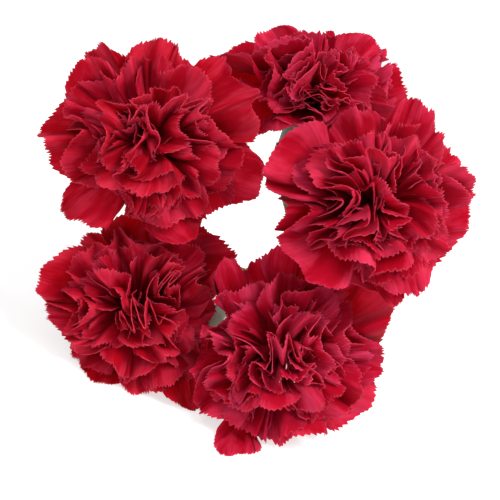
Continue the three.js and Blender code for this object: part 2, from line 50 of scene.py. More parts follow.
# The camera looks square at the face from this far off, and sees this much of it from side to side.
VIEW_DISTANCE = 600
VIEW_WIDTH = 187.5
SENSOR_WIDTH = 36

rolled = Matrix.Rotation(math.radians(FACE_ROLL), 3, "Z")
face_turn = Matrix.Rotation(math.radians(90 - FACE_RISE), 3, "X") @ rolled
face_axes = np.array(face_turn)
face_place = np.array([*FACE_OFFSET, FACE_HEIGHT])
table_up = face_axes[2]
table_forward = -face_axes[1]


def on_table(points):
    """Points of the face's frame in millimetres, as points of the table's frame in metres."""
    return (np.asarray(points) @ face_axes.T + face_place) / 1000


camera_data = bpy.data.cameras.new("camera")
camera_data.sensor_width = SENSOR_WIDTH
camera_data.lens = SENSOR_WIDTH * VIEW_DISTANCE / VIEW_WIDTH
camera_data.clip_start = 0.01
camera_data.clip_end = 20
camera = bpy.data.objects.new("camera", camera_data)
bpy.context.scene.collection.objects.link(camera)
camera.matrix_world = Matrix.Translation(Vector(on_table([0, 0, VIEW_DISTANCE]))) @ face_turn.to_4x4()
bpy.context.scene.camera = camera
bpy.context.scene.view_settings.view_transform = "Standard"

# ---- Stems and leaves
# Smooth grey-green stems, round, with one swollen joint each that carries a pair of narrow keeled leaves.
# They cross in a spiral at the tied waist, and their ends are cut on a slant that lies on the table.

# Of each flower: the middle of its bloom, and how far and which way it leans out of the face.
FLOWERS = {
    "upper_left": ((-37, 40, 6), 6, -50),
    "upper_right": ((27.5, 61.5, -14), 44, 62),
    "right": ((48, 17.5, 12), 12, 5),
    "lower_left": ((-42.5, -22.5, -8), 3, 30),
    "lower_middle": ((12, -39, 0), 7, 10),
}
# The middle of a bloom is this far above the mouth of its calyx.
CENTRE_ABOVE_MOUTH = 14
CALYX_LENGTH = 28


def unit(values):
    values = np.asarray(values, float)
    return values / np.linalg.norm(values)


def flower_frame(place):
    """The flower's axis, the middle of its calyx's mouth, and its own axes as columns."""
    centre, lean, lean_to = FLOWERS[place]
    lean, lean_to = math.radians(lean), math.radians(lean_to)
    axis = np.array([math.sin(lean) * math.cos(lean_to), math.sin(lean) * math.sin(lean_to), math.cos(lean)])
    turn = Vector((0, 0, 1)).rotation_difference(Vector(axis)).to_matrix()
    return axis, np.array(centre) - CENTRE_ABOVE_MOUTH * axis, np.array(turn)


# The waist, where the stems cross: its middle, the way they run up through it, how far from its axis each one
# is, and how much it turns about it.
WAIST = np.array([-3, -19, -98])
GATHER_TOWARDS = (5, 29, 93)
WAIST_RADIUS = 4.8
SPIRAL_SLOPE = 0.3
gather_axis = unit(GATHER_TOWARDS)
gather_across = unit(np.array([1, 0, 0]) - gather_axis[0] * gather_axis)
gather_up = np.cross(gather_axis, gather_across)

# Of each stem: its place round the waist, the points it passes, where along it the joint is, and its leaves.
STEMS = {
    "upper_left": (72, [(-38, 30, -56), (-33, 12, -70), (-24, -3, -81)], 0.3, [(40, 30), (150, 22)]),
    "upper_right": (0, [(14.5, 24, -55), (17.5, 10, -66), (13, -3, -78)], 0.28, [(-60, 26), (-140, 22)]),
    "right": (-72, [(36, 12, -48), (26, 0, -68), (13, -12, -83)], 0.3, [(20, 28), (-60, 24)]),
    "lower_left": (144, [(-43, -24, -63), (-33, -22, -77), (-18, -18, -85)], 0.3, [(40, 22), (110, 22)]),
    "lower_middle": (-144, [(5.5, -39, -56), (1, -33, -73)], 0.24, [(60, 20)]),
}
# One more leaf rises from the joint of the lower middle stem. Its broad end shows between the lower blooms.
# It is painted paler than the other leaves: painted light against the shade there.
LEAF_IN_GAP = {
    "middle": (-4, -12, -20), "tip": (-17.5, -30, -11.5), "facing": (0.1, -0.3, 0.95), "breadth": 7.5,
}
STEM_RADIUS = 2.3
STEM_SIDES = 20
STEM_STEP = 1.0
# Each stem starts straight, this far under its calyx, and passes the waist at these heights.
STRAIGHT_UNDER_CALYX = (0.3, 1.5, 5)
WAIST_HEIGHTS = (8, -4, -45)
JOINT_SWELL = 0.85
JOINT_HALF_LENGTH = 3.4
JOINT_RIDGE = 0.25
RIDGE_BEFORE_JOINT = 1.4
RIDGE_HALF_LENGTH = 0.5
LEAF_HALF_WIDTH = 2.5
LEAF_BELLY = 0.1
LEAF_TAPER = 0.86
LEAF_TAPER_POWER = 0.8
LEAF_KEEL = 0.35
KEEL_ROUNDING = 0.02
# A leaf is thickest along its keel, and thins towards its sides and its tip.
LEAF_THICKNESS = 0.55
KEEL_THICKENING = 1.3
LEAF_THINNING = 0.5
LEAF_ROWS = 29
LEAF_COLUMNS = 9
# How far up the stem and out from it a leaf's middle and tip are, as parts of its length.
LEAF_MIDDLE = (0.55, 0.12)
LEAF_TIP = (0.75, 0.55)
# Leaves stay this far above the table, and bend over this much before it.
LEAF_ABOVE_TABLE = 1
LEAF_TABLE_DEPTH = 4
CURVE_STEPS = 60
# Lengths in a UV map are counted in this many millimetres.
PLACE_UNIT = 100


def waist_point(azimuth, height):
    azimuth = math.radians(azimuth)
    radial = gather_across * math.cos(azimuth) + gather_up * math.sin(azimuth)
    tangent = np.cross(gather_axis, radial)
    return WAIST + gather_axis * height + radial * WAIST_RADIUS + tangent * SPIRAL_SLOPE * height


def smooth_path(knots, step):
    """Equal steps along a centripetal Catmull-Rom curve through the knots."""
    knots = [np.asarray(knot, float) for knot in knots]
    ends = [2 * knots[0] - knots[1], *knots, 2 * knots[-1] - knots[-2]]
    points = []
    for p0, p1, p2, p3 in zip(ends, ends[1:], ends[2:], ends[3:]):
        d0, d1, d2 = (math.sqrt(np.linalg.norm(b - a)) for a, b in ((p0, p1), (p1, p2), (p2, p3)))
        t1 = ((p1 - p0) / d0 - (p2 - p0) / (d0 + d1) + (p2 - p1) / d1) * d1
        t2 = ((p2 - p1) / d1 - (p3 - p1) / (d1 + d2) + (p3 - p2) / d2) * d1
        t = np.linspace(0, 1, CURVE_STEPS, endpoint=False)[:, None]
        points.append(p1 + t1 * t + (3 * (p2 - p1) - 2 * t1 - t2) * t**2 + (2 * (p1 - p2) + t1 + t2) * t**3)
    points = np.vstack([*points, knots[-1]])
    length = np.concatenate([[0], np.cumsum(np.linalg.norm(np.diff(points, axis=0), axis=1))])
    wanted = np.linspace(0, length[-1], max(2, round(length[-1] / step)) + 1)
    return np.stack([np.interp(wanted, length, points[:, axis]) for axis in range(3)], axis=1)


def path_frames(path):
    """The tangent and two sides of a path at each of its points, without twist."""
    off_path = [0.3, 0.5, 0.8]
    tangents = np.gradient(path, axis=0)
    tangents /= np.linalg.norm(tangents, axis=1)[:, None]
    side = unit(np.cross(tangents[0], off_path))
    sides = []
    for tangent in tangents:
        side = unit(side - tangent * (side @ tangent))
        sides.append(side)
    sides = np.array(sides)
    return tangents, sides, np.cross(tangents, sides)


def grid_faces(rows, columns, start=0, closed=False):
    """Quads of a grid of points, wrapped round its columns where closed."""
    wide = columns if closed else columns - 1
    row, column = np.meshgrid(np.arange(rows - 1), np.arange(wide), indexing="ij")
    after = (column + 1) % columns
    this_row, next_row = row * columns, (row + 1) * columns
    corners = [this_row + column, this_row + after, next_row + after, next_row + column]
    return np.stack(corners, axis=-1).reshape(-1, 4) + start


def tube(path, radii, sides, twist=None, lobes=0.0):
    """A closed tube along a path: points, faces, how far round and along it each point is, and two caps."""
    tangents, side, other = path_frames(path)
    angle = np.linspace(0, 2 * math.pi, sides, endpoint=False)[None, :]
    radius = np.asarray(radii, float)[:, None] * np.ones_like(angle)
    if twist is not None:
        radius = radius * (1 - lobes + lobes * np.cos(2 * (angle - twist[:, None])))
    ring = side[:, None] * (radius * np.cos(angle))[..., None]
    ring = ring + other[:, None] * (radius * np.sin(angle))[..., None]
    points = (path[:, None] + ring).reshape(-1, 3)
    rows = len(path)
    faces = grid_faces(rows, sides, closed=True)
    run = np.concatenate([[0], np.cumsum(np.linalg.norm(np.diff(path, axis=0), axis=1))])
    round_and_along = np.broadcast_arrays(angle / (2 * math.pi), run[:, None] / PLACE_UNIT)
    places = np.stack(round_and_along, axis=-1).reshape(-1, 2)
    caps = [list(range(sides))[::-1], list(range((rows - 1) * sides, rows * sides))]
    return points, faces, places, caps


def blade(middle, thickness, places):
    """A closed blade round a grid of middle points: points, faces, each point's place, and no caps."""
    rows, columns = middle.shape[:2]
    normal = np.cross(np.gradient(middle, axis=1), np.gradient(middle, axis=0))
    normal /= np.linalg.norm(normal, axis=2)[..., None] + 1e-12
    thickness = np.broadcast_to(thickness, (rows, columns))[..., None]
    points = np.concatenate([(middle + side * thickness * normal).reshape(-1, 3) for side in (0.5, -0.5)])
    count = rows * columns
    front = grid_faces(rows, columns)
    back = grid_faces(rows, columns, count)[:, ::-1]
    index = np.arange(count).reshape(rows, columns)
    rim = np.concatenate([index[0, :-1], index[:-1, -1], index[-1, :0:-1], index[:0:-1, 0]])
    after = np.roll(rim, -1)
    edge = np.stack([rim, rim + count, after + count, after], axis=1)
    return points, np.concatenate([front, back, edge]), np.concatenate([places.reshape(-1, 2)] * 2), []


def add_piece(name, node, material, parts, part_values=None):
    """Joins the parts into one mesh in the node's place. Their places become its UV map, named along."""
    points = np.concatenate([part[0] for part in parts])
    places = np.concatenate([part[2] for part in parts])
    starts = np.cumsum([0] + [len(part[0]) for part in parts[:-1]])
    quads = np.concatenate([part[1] + start for part, start in zip(parts, starts)])
    caps = [[corner + int(start) for corner in cap] for part, start in zip(parts, starts) for cap in part[3]]
    sizes = np.concatenate([np.full(len(quads), 4), [len(cap) for cap in caps]]).astype(np.int32)
    corners = np.concatenate([quads.reshape(-1), *caps]).astype(np.int32)
    mesh = bpy.data.meshes.new(name)
    mesh.vertices.add(len(points))
    mesh.vertices.foreach_set("co", on_table(points).astype(np.float32).reshape(-1))
    mesh.loops.add(len(corners))
    mesh.loops.foreach_set("vertex_index", corners)
    mesh.polygons.add(len(sizes))
    mesh.polygons.foreach_set("loop_start", (np.cumsum(sizes) - sizes).astype(np.int32))
    mesh.polygons.foreach_set("loop_total", sizes)
    mesh.polygons.foreach_set("use_smooth", np.ones(len(sizes), bool))
    mesh.uv_layers.new(name="along").data.foreach_set("uv", places[corners].astype(np.float32).reshape(-1))
    for key, numbers in (part_values or {}).items():
        values = np.concatenate([np.full(len(part[0]), number) for part, number in zip(parts, numbers)])
        mesh.attributes.new(key, "FLOAT", "POINT").data.foreach_set("value", values.astype(np.float32))
    mesh.update(calc_edges=True)
    mesh.validate()
    mesh.materials.append(material)
    piece = bpy.data.objects.new(name, mesh)
    bpy.context.scene.collection.objects.link(piece)
    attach(piece, "root")
    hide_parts(node)
    return piece


def cut_at_table(piece):
    """Cuts off what would be under the table, and closes the cut."""
    work = bmesh.new()
    work.from_mesh(piece.data)
    everything = work.verts[:] + work.edges[:] + work.faces[:]
    cut = bmesh.ops.bisect_plane(
        work, geom=everything, plane_co=(0, 0, 0), plane_no=(0, 0, -1), clear_outer=True,
    )
    edges = [item for item in cut["geom_cut"] if isinstance(item, bmesh.types.BMEdge)]
    bmesh.ops.holes_fill(work, edges=edges)
    work.to_mesh(piece.data)
    work.free()


def press(points, normal, level, depth):
    """Slides points back along the normal, smoothly and without folding, until they are under the plane."""
    past = np.maximum(points @ normal - level + depth, 0)
    return points + (depth * (1 - np.exp(-past / depth)) - past)[..., None] * normal


def shader_nodes(name):
    """A new material's node tree, its main shader, and a short way to add and link nodes."""
    material = bpy.data.materials.new(name)
    material.use_nodes = True
    tree = material.node_tree
    shader = tree.nodes["Principled BSDF"]

    def node(kind, inputs=None, **settings):
        made = tree.nodes.new(kind)
        for key, value in settings.items():
            setattr(made, key, value)
        for key, value in (inputs or {}).items():
            if isinstance(value, bpy.types.NodeSocket):
                tree.links.new(value, made.inputs[key])
            else:
                made.inputs[key].default_value = value
        return made

    return material, tree, shader, node


def ramp(node, factor, stops):
    """A colour ramp over a factor, from (position, linear colour) stops."""
    made = node("ShaderNodeValToRGB", {"Fac": factor})
    elements = made.color_ramp.elements
    while len(elements) < len(stops):
        elements.new(0.5)
    for element, (position, colour) in zip(elements, stops):
        element.position = position
        element.color = (*colour, 1)
    return made.outputs["Color"]


def stem_green():
    material, tree, shader, node = shader_nodes("waxy_stem_green")
    place = node("ShaderNodeTexCoord").outputs["Object"]
    along = node("ShaderNodeUVMap", uv_map="along").outputs["UV"]
    streaked = node("ShaderNodeVectorMath", {0: along, 1: (18, 6, 1)}, operation="MULTIPLY").outputs[0]
    streaks = node("ShaderNodeTexNoise", {"Vector": streaked, "Scale": 3, "Detail": 5}).outputs["Fac"]
    bloom = node("ShaderNodeTexNoise", {"Vector": place, "Scale": 90, "Detail": 4}).outputs["Fac"]
    mixed = node("ShaderNodeMath", {0: streaks, 1: bloom}, operation="ADD").outputs[0]
    half = node("ShaderNodeMath", {0: mixed, 1: 0.5}, operation="MULTIPLY").outputs[0]
    # Painted light: the leaf between the lower blooms is lifted towards the palest greens, against the shade
    # it lies in.
    pale = node("ShaderNodeAttribute", attribute_name="pale").outputs["Fac"]
    toned = node("ShaderNodeMath", {0: pale, 1: 0.24, 2: half}, operation="MULTIPLY_ADD").outputs[0]
    green = ramp(node, toned, [
        (0.3, (0.045, 0.085, 0.04)), (0.5, (0.12, 0.2, 0.11)),
        (0.64, (0.24, 0.33, 0.23)), (0.8, (0.48, 0.54, 0.42)),
    ])
    tree.links.new(green, shader.inputs["Base Color"])
    bump = node("ShaderNodeBump", {"Height": streaks, "Strength": 0.25, "Distance": 0.0002})
    tree.links.new(bump.outputs["Normal"], shader.inputs["Normal"])
    rough = node("ShaderNodeMapRange", {"Value": bloom, "To Min": 0.42, "To Max": 0.68}).outputs[0]
    tree.links.new(rough, shader.inputs["Roughness"])
    return material


def keeled_leaf(foot, middle, tip, facing, breadth=1):
    """A narrow blade along a curve, folded along its keel. A breadth over 1 widens its end."""
    part = np.linspace(0, 1, LEAF_ROWS)[:, None]
    line = (1 - part) ** 2 * foot + 2 * part * (1 - part) * middle + part**2 * tip
    tangent = (1 - part) * (middle - foot) + part * (tip - middle)
    side = np.cross(tangent, facing)
    side /= np.linalg.norm(side, axis=1)[:, None]
    belly = 1 - LEAF_BELLY + LEAF_BELLY * np.sin(math.pi * part)
    width = LEAF_HALF_WIDTH * belly * (1 - LEAF_TAPER * part) ** LEAF_TAPER_POWER
    width = width * (1 + (breadth - 1) * part**3)
    across = np.linspace(-1, 1, LEAF_COLUMNS)[None, :]
    fold = (np.sqrt(across**2 + KEEL_ROUNDING) - 0.5) * LEAF_KEEL * width
    grid = line[:, None] + side[:, None] * (across * width)[..., None] + facing * fold[..., None]
    grid = press(grid, -table_up, FACE_HEIGHT - LEAF_ABOVE_TABLE, LEAF_TABLE_DEPTH)
    along = part * np.linalg.norm(tip - foot) / PLACE_UNIT
    places = np.stack(np.broadcast_arrays((across + 1) / 2, along), axis=-1)
    thickness = LEAF_THICKNESS * (KEEL_THICKENING - LEAF_THINNING * np.abs(across))
    return blade(grid, thickness * (1 - LEAF_THINNING * part), places)


waxy_green = stem_green()
for place, (waist_azimuth, route, joint_at, leaves) in STEMS.items():
    axis, mouth, _ = flower_frame(place)
    below = [mouth - axis * (CALYX_LENGTH + distance) for distance in STRAIGHT_UNDER_CALYX]
    last = [waist_point(waist_azimuth, height) for height in WAIST_HEIGHTS]
    path = smooth_path([*below, *route, *last], STEM_STEP)
    length = STEM_STEP * np.arange(len(path))
    joint_length = joint_at * length[-1]
    swell = JOINT_SWELL * np.exp(-(((length - joint_length) / JOINT_HALF_LENGTH) ** 2))
    from_ridge = length - joint_length + RIDGE_BEFORE_JOINT
    ridge = JOINT_RIDGE * np.exp(-((from_ridge / RIDGE_HALF_LENGTH) ** 2))
    joint_index = int(round(joint_length / STEM_STEP))
    joint = path[joint_index]
    along_stem = -unit(path[joint_index + 1] - path[joint_index - 1])
    parts = [tube(path, STEM_RADIUS + swell + ridge, STEM_SIDES)]
    from_axis = joint - WAIST
    outward = from_axis - gather_axis * (from_axis @ gather_axis)
    outward = unit(outward - along_stem * (outward @ along_stem))
    for leaf_turn, leaf_length in leaves:
        leaf_turn = math.radians(leaf_turn)
        away = outward * math.cos(leaf_turn) + np.cross(along_stem, outward) * math.sin(leaf_turn)
        middle, tip = (
            joint + along_stem * up * leaf_length + away * out * leaf_length
            for up, out in (LEAF_MIDDLE, LEAF_TIP)
        )
        parts.append(keeled_leaf(joint, middle, tip, -away))
    # Only the leaf between the lower blooms gets this painted light.
    pale = [0.0] * len(parts)
    if place == "lower_middle":
        middle, tip, facing = (np.array(LEAF_IN_GAP[key], float) for key in ("middle", "tip", "facing"))
        parts.append(keeled_leaf(joint, middle, tip, unit(facing), LEAF_IN_GAP["breadth"]))
        pale.append(1.0)
    leafy_stem = add_piece(
        f"leafy_stem_{place}", f"stem_{place}", waxy_green, parts, {"pale": pale},
    )
    cut_at_table(leafy_stem)

# ---- Calyxes
# The green tube that holds each bloom: five pointed teeth, faint ribs, and two pairs of pointed scales that
# clasp its foot. It is one with the flower, and firm and waxy. Its green is painted darker, as painted shade.

# Heights are measured from the tips of the tube, so that they are below 0. The outline is height and radius.
CALYX_RIM = -1
CALYX_OUTLINE = [(-CALYX_LENGTH, 3), (-23, 5.2), (-13, 6.2), (CALYX_RIM, 6.9)]
CALYX_BELLY = 0.25
CALYX_WALL = 1.0
SOCKET_DEPTH = 9
CALYX_TEETH = 5
TOOTH_FOOT = -6
TOOTH_HEIGHT = 4
TOOTH_POWER = 1.5
TOOTH_FLARE = 0.8
RIBS = 30
RIB_HEIGHT = 0.07
RIB_END = -3
RIB_FADE = 8
CALYX_ROUND = 80
SCALE_LENGTH = 10
# How far round the tube a scale's foot reaches to each side, and how its sides come together at its tip.
SCALE_SPREAD = 52
SCALE_NARROWING = 1.6
SCALE_FOOT_BOW = 0.8
SCALE_CROWN = 0.12
SCALE_THICKNESS = 0.3
SCALE_ROWS = 15
SCALE_COLUMNS = 11
# Of each pair of scales: where round the tube they are, the height of their foot, and how far they stand off.
SCALE_PAIRS = [((0, 180), -28.2, 0.45), ((90, 270), -26.4, 0.2)]


def calyx_radius(height):
    heights, radii = zip(*CALYX_OUTLINE)
    soft = np.interp(height, heights, radii)
    up_tube = np.clip((np.asarray(height) + CALYX_LENGTH) / (CALYX_LENGTH + CALYX_RIM), 0, 1)
    return soft + CALYX_BELLY * np.sin(up_tube * math.pi)


def shade_darkened_calyx_green():
    material, tree, shader, node = shader_nodes("shade_darkened_calyx_green")
    along = node("ShaderNodeUVMap", uv_map="along").outputs["UV"]
    split = node("ShaderNodeSeparateXYZ", {"Vector": along})
    streaked = node("ShaderNodeVectorMath", {0: along, 1: (30, 3, 1)}, operation="MULTIPLY").outputs[0]
    streaks = node("ShaderNodeTexNoise", {"Vector": streaked, "Scale": 2.5, "Detail": 5}).outputs["Fac"]
    # Painted shade: these greens are about half as bright as the calyx's own mid green, to stand for the
    # shade it lies in.
    green = ramp(node, streaks, [
        (0.3, (0.025, 0.045, 0.015)), (0.5, (0.055, 0.09, 0.035)), (0.7, (0.12, 0.165, 0.08)),
    ])
    up_tube = {"Value": split.outputs["Y"], "From Min": 0.27, "From Max": 0.32}
    tips = node("ShaderNodeMapRange", up_tube).outputs[0]
    flushed = node("ShaderNodeMix", {0: tips, 6: green, 7: (0.2, 0.1, 0.05, 1)}, data_type="RGBA").outputs[2]
    tree.links.new(flushed, shader.inputs["Base Color"])
    bump = node("ShaderNodeBump", {"Height": streaks, "Strength": 0.35, "Distance": 0.0003})
    tree.links.new(bump.outputs["Normal"], shader.inputs["Normal"])
    shader.inputs["Roughness"].default_value = 0.5
    return material


def calyx_tube():
    """The toothed tube, open at its mouth down to the socket's floor, in the flower's own frame."""
    azimuth = np.linspace(0, 2 * math.pi, CALYX_ROUND, endpoint=False)[None, :]
    tooth = 1 - np.abs(np.mod(azimuth * CALYX_TEETH / math.pi, 2) - 1)
    tooth_start = TOOTH_FOOT + 0.5
    outer = np.concatenate([
        np.linspace(-CALYX_LENGTH, TOOTH_FOOT, 23), np.linspace(tooth_start, CALYX_RIM, 10),
    ])[:, None]
    inner = np.concatenate([np.linspace(CALYX_RIM, tooth_start, 8), [-SOCKET_DEPTH]])[:, None]
    rings = []
    for heights, wall in ((outer, 0), (inner, CALYX_WALL)):
        risen = np.clip((heights - TOOTH_FOOT) / (CALYX_RIM - TOOTH_FOOT), 0, 1) ** TOOTH_POWER * tooth
        radius = calyx_radius(heights) - wall + risen * TOOTH_FLARE
        if wall == 0:
            faded = np.clip((RIB_END - heights) / RIB_FADE, 0, 1)
            radius = radius + RIB_HEIGHT * np.cos(RIBS * azimuth) * faded
        radius = radius + np.zeros_like(azimuth)
        height = heights + risen * TOOTH_HEIGHT
        rings.append(np.stack([radius * np.cos(azimuth), radius * np.sin(azimuth), height], axis=-1))
    points = np.concatenate(rings)
    rows = len(points)
    run = np.concatenate([outer[:, 0] + CALYX_LENGTH, CALYX_LENGTH + (CALYX_RIM - inner[:, 0])])[:, None]
    round_and_along = np.broadcast_arrays(azimuth / (2 * math.pi), run / PLACE_UNIT)
    places = np.stack(round_and_along, axis=-1).reshape(-1, 2)
    caps = [list(range(CALYX_ROUND))[::-1], list(range((rows - 1) * CALYX_ROUND, rows * CALYX_ROUND))]
    return points.reshape(-1, 3), grid_faces(rows, CALYX_ROUND, closed=True), places, caps


def calyx_scale(azimuth, foot, stand):
    """A pointed scale that clasps the tube's foot and stands off more towards its tip."""
    part = np.linspace(0, 1, SCALE_ROWS)[:, None]
    across = np.linspace(-1, 1, SCALE_COLUMNS)[None, :]
    spread = math.radians(SCALE_SPREAD) * np.cos(0.5 * math.pi * part**SCALE_NARROWING) + 0.01
    height = foot + SCALE_LENGTH * part - SCALE_FOOT_BOW * (across * (1 - part)) ** 2
    lift = stand * (0.4 + 0.9 * part) + SCALE_CROWN * np.cos(0.5 * math.pi * across)
    radius = calyx_radius(height) + lift
    angle = math.radians(azimuth) + across * spread
    grid = np.stack(np.broadcast_arrays(radius * np.cos(angle), radius * np.sin(angle), height), axis=-1)
    # It takes its colours from a strip of the tube's that stays clear of the flushed tips.
    places = np.stack(np.broadcast_arrays((across + 1) / 8, 0.2 * part + 0.05), axis=-1)
    return blade(grid, SCALE_THICKNESS, places)


firm_green = shade_darkened_calyx_green()
for place in FLOWERS:
    _, mouth, turn = flower_frame(place)
    parts = [calyx_tube()]
    for azimuths, foot, stand in SCALE_PAIRS:
        parts += [calyx_scale(azimuth, foot, stand) for azimuth in azimuths]
    parts = [(points @ turn.T + mouth, faces, places, caps) for points, faces, places, caps in parts]
    add_piece(f"toothed_calyx_{place}", f"calyx_{place}", firm_green, parts)

# ---- Blooms
# Each bloom is 44 thin velvety petals: a narrow claw in the calyx, a broad fan above, a pinked edge.
# They stand packed and ruffled in the heart and open flat outside. Neighbouring blooms press on each other.

# Of each bloom: the seed of its draws, and its outer petals as azimuth, reach, half width and opening.
BLOOMS = {
    "upper_left": (11, [
        (85, 39.5, 18.5, 83), (119, 42.4, 10.1, 95), (140, 40.1, 11.6, 83), (175, 43.6, 17.1, 95),
        (227, 43.5, 13.8, 83), (288, 53.6, 14.7, 95), (316, 37.6, 16.6, 83), (338, 48.9, 12, 85),
        (19, 50.6, 18.4, 83), (41, 47.2, 10.3, 95),
    ]),
    "upper_right": (23, [
        (5, 39, 15.2, 83), (46, 42, 13, 66), (78, 33, 13, 74), (110, 35, 14, 83),
        (144, 41, 16.4, 95), (172, 52.5, 14, 83), (194, 38, 13, 95), (234, 37, 14, 83),
        (284, 36, 14, 95), (332, 40, 15, 95),
    ]),
    "right": (37, [
        (5, 39.7, 13, 83), (32, 40.5, 12.7, 95), (70, 43.5, 12, 83), (106, 40, 15, 95),
        (154, 47.1, 16.7, 83), (193, 41.3, 14.4, 95), (221, 48.3, 18.8, 83), (267, 46.5, 18, 95),
        (298, 38.5, 14, 83), (339, 40.2, 13.9, 95),
    ]),
    "lower_left": (41, [
        (29, 44, 18.9, 83), (50, 42, 16.6, 95), (89, 41.1, 16.2, 83), (117, 35.5, 13, 95),
        (157, 40.8, 15.3, 83), (183, 37.9, 12.3, 95), (229, 31.8, 11.5, 83), (250, 36.2, 18, 95),
        (305, 49, 13, 83), (334, 39, 14, 95),
    ]),
    "lower_middle": (59, [
        (350, 40.4, 18.4, 83), (26, 50, 18.5, 95), (79, 46.3, 18, 83), (104, 37.6, 13.8, 95),
        (139, 49.5, 13.1, 83), (181, 43, 15, 95), (213, 38.5, 15.5, 83), (246, 52, 12, 95),
        (288, 35.6, 17.3, 83), (331, 41.5, 17.5, 95),
    ]),
}
# How rosy each bloom is, and how much its petals differ in it.
BLUSH = {"upper_left": 0.12, "upper_right": 0.55, "right": 0.42, "lower_left": 0.15, "lower_middle": 0.62}
BLUSH_SPREAD = 0.3
# Where two blooms press on each other: the front one, the one behind, a point between them, and the way back.
PRESSED_PAIRS = [
    ("upper_left", "upper_right", (-3, 62, -3), (63, 21, -58)),
    ("right", "upper_right", (31, 44, 2), (-24, 45, -52)),
    ("right", "lower_middle", (28, -3, 4), (-38, -57, -45)),
    ("upper_left", "lower_left", (-42, 7, -1), (-3, -64, -40)),
    ("lower_middle", "lower_left", (-17, -33, -3), (-53, 16, -28)),
    ("right", "upper_left", (10, 30, 2), (-50, 10, -30)),
]
PRESS_DEPTH = 8
PRESS_GAP = 0.6
# The top of the ring is level: this high on the face.
TOP_LEVEL = 87.5
TOP_DEPTH = 4
# Petals that reach the table bend over this much before it, lie this high, and slide forward as they sink.
TABLE_DEPTH = 1.2
TABLE_MIDDLE = 0.25
TABLE_FOLD = 1
# A petal's claw rises straight, then turns outward. Its length comes on top of an outer petal's reach.
CLAW_RISE = 4
CLAW_TURN = 9
CLAW_LOSS = 3
CLAW_HALF_WIDTH = 2.2
OUTER_ROOT = 4.4
INNER_ROOT = 1.6
INNER_COUNT = 34
GOLDEN_ANGLE = 137.5
# How far an outer petal's tip curls down, and the outermost inner one's, with what the innermost has more.
TIP_DROP = 14
INNER_CURL = (20, 30)
# Inner petals lean any way, by this much outermost and innermost, and their sides lift.
INNER_TILT = (5, 24)
SIDE_LIFT = 0.12
# Of the inner petals: the outermost one's value, what the innermost one has less, and what chance changes.
INNER_REACH = (38, 9, 5)
INNER_HALF_WIDTH = (16, 4, 4)
INNER_OPENING = (77, 71, 10)
INNER_OPENING_POWER = 1.1
INNER_TURN = 30
# What chance draws for each petal: the least value, and how much more it can be.
OUTER_DRAWS = {"curl": (0.85, 0.3), "wave": (1, 1.1), "waves": (1.6, 1.4)}
INNER_DRAWS = {"curl": (0.2, 1.6), "wave": (2.5, 3.5), "waves": (1.4, 2.2)}
# Rings of swirls that ruffle the petals: count, opening from the axis, turn and spread.
SWIRL_RINGS = [
    (16, 90, 0.85, 0.23), (13, 67, 0.75, 0.24), (9, 46, 0.6, 0.26), (5, 26, 0.5, 0.28), (2, 9, 0.4, 0.28),
]
SWIRL_SHIFT = 0.5
SWIRL_LEAN = 10
SWIRL_STRENGTH = (0.7, 0.6)
SWIRL_FROM = 7
SWIRL_FULL = 42
PETAL_THICKNESS = 0.26
PETAL_ROWS = [0, 0.1, 0.2, 0.3, 0.4, 0.5, 0.6, 0.69, 0.77, 0.84, 0.9, 0.95, 0.985, 1]
PETAL_COLUMNS = 61
PROFILE_STEPS = 32
# The pinked edge: how deep it is cut, and how far it falls back towards the petal's sides.
TOOTH_DEPTH = 1.5
LONG_TEETH = (0.45, 0.9)
SHORT_TEETH = 0.35
EDGE_FALL = 0.22
EDGE_POWER = 2.6
# Waves across a petal: the height, and the least and most radians from its middle to its side.
LOBES = (0.6, (4, 8))
SMALL_LOBES = (0.5, (11, 17))
FRILL = (1.1, (9, 14))
FRILL_SWELL = (0.4, (3, 5))
CREASES = (0.22, (22, 30))
WAVE_PHASES = (0, 6)
# Where along a petal its fan, creases, frill and teeth start and are full, as parts of its length.
FAN_SPAN = (0.2, 0.88)
CREASE_SPAN = (0.35, 0.9)
FRILL_SPAN = (0.6, 1)
TEETH_SPAN = (0.72, 1)
# The fan is spread round its axis as if it stood this much further out.
FAN_EASE = 2


def seeded_draw(seed):
    """A linear congruential generator, so that each bloom's draws stay the same."""
    state = seed

    def draw():
        nonlocal state
        state = (state * 1664525 + 1013904223) % 4294967296
        return state / 4294967296

    return draw


def drawn_over(draw, least, more):
    return least + more * draw()


def smoothstep(values, low, high):
    """From 0 at the low value to 1 at the high one, with soft ends."""
    part = np.clip((np.asarray(values, float) - low) / (high - low), 0, 1)
    return part * part * (3 - 2 * part)


def swirls_of(draw):
    """The poles, turns and spreads of a bloom's swirls. Neighbours in a ring turn opposite ways."""
    swirls = []
    for count, opening, turn, spread in SWIRL_RINGS:
        for place in range(count):
            azimuth = math.radians((360 / count) * (place + SWIRL_SHIFT * (draw() - 0.5)))
            opened = math.radians(opening + SWIRL_LEAN * (draw() - 0.5))
            hand = 1 if place % 2 == 0 else -1
            pole = np.array([
                math.sin(opened) * math.cos(azimuth), math.sin(opened) * math.sin(azimuth), math.cos(opened),
            ])
            swirls.append((pole, hand * turn * drawn_over(draw, *SWIRL_STRENGTH), spread))
    return swirls


def swirled(points, swirls):
    """Turns points round each swirl's pole, by less the further they are from it."""
    distance = np.linalg.norm(points, axis=-1)
    strength = smoothstep(distance, SWIRL_FROM, SWIRL_FULL)
    for pole, turn, spread in swirls:
        along = points @ pole
        angle = strength * turn * np.exp(-(1 - along / distance) / spread**2)
        cos, sin = np.cos(angle)[..., None], np.sin(angle)[..., None]
        points = points * cos + np.cross(pole, points) * sin + pole * (along[..., None] * (1 - cos))
    return points


def inner_value(values, inward, draw):
    outermost, less, spread = values
    return outermost - less * inward + spread * (draw() - 0.5)


